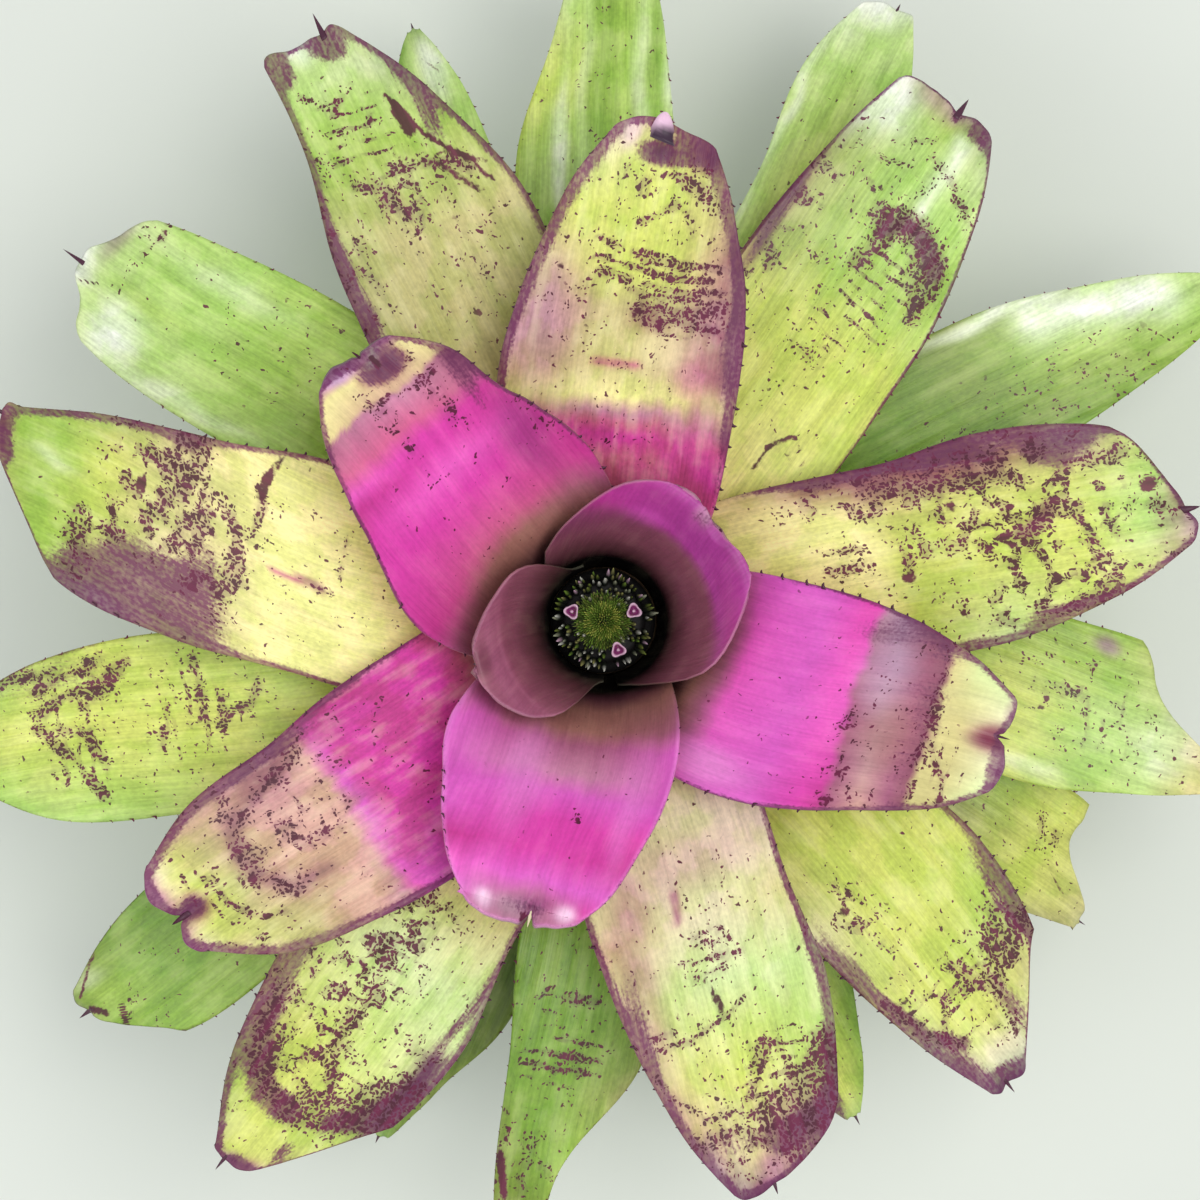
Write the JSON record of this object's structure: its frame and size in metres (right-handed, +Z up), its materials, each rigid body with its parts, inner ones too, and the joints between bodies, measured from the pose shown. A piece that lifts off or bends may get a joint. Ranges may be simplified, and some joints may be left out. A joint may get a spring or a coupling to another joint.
{
  "type": "neoregelia bromeliad",
  "caption": "Neoregelia bromeliad cut at the stem: a flat open rosette of spotted, spiny-edged strap leaves with a magenta heart and a nest of buds in its cup.",
  "frame": {"origin": "centre of the stem's flat cut face, on the surface that the plant stands on", "axes": "+Z up along the stem; +X and +Y lie in the rosette's plane, with the picture's right and top"},
  "size_m": [0.4062, 0.4212, 0.1452],
  "materials": {
    "leaf_inner": "waxy satin, magenta to mauve",
    "leaf_middle": "waxy satin, yellow-green with maroon spots and margins",
    "leaf_outer": "waxy satin, green with faint maroon lines",
    "stem": "fibrous, matt",
    "flower_head": "waxy, dark green buds with pale tips",
    "petals": "soft, white to lavender"
  },
  "bodies": {
    "root": {"stem": "stem", "flower_head": "flower_head", "flower_1": "petals", "flower_2": "petals", "flower_3": "petals", "leaf_01": "leaf_inner", "leaf_02": "leaf_inner", "leaf_03": "leaf_inner", "leaf_04": "leaf_inner", "leaf_05": "leaf_inner", "leaf_06": "leaf_middle", "leaf_07": "leaf_middle", "leaf_08": "leaf_middle", "leaf_09": "leaf_middle", "leaf_10": "leaf_middle", "leaf_11": "leaf_middle", "leaf_12": "leaf_middle", "leaf_13": "leaf_middle", "leaf_14": "leaf_outer", "leaf_15": "leaf_outer", "leaf_16": "leaf_outer", "leaf_17": "leaf_outer", "leaf_18": "leaf_outer", "leaf_19": "leaf_outer", "leaf_20": "leaf_outer", "leaf_21": "leaf_outer", "leaf_22": "leaf_outer", "leaf_23": "leaf_outer", "leaf_24": "leaf_outer", "leaf_25": "leaf_outer", "leaf_26": "leaf_outer"}
  },
  "joints": []
}
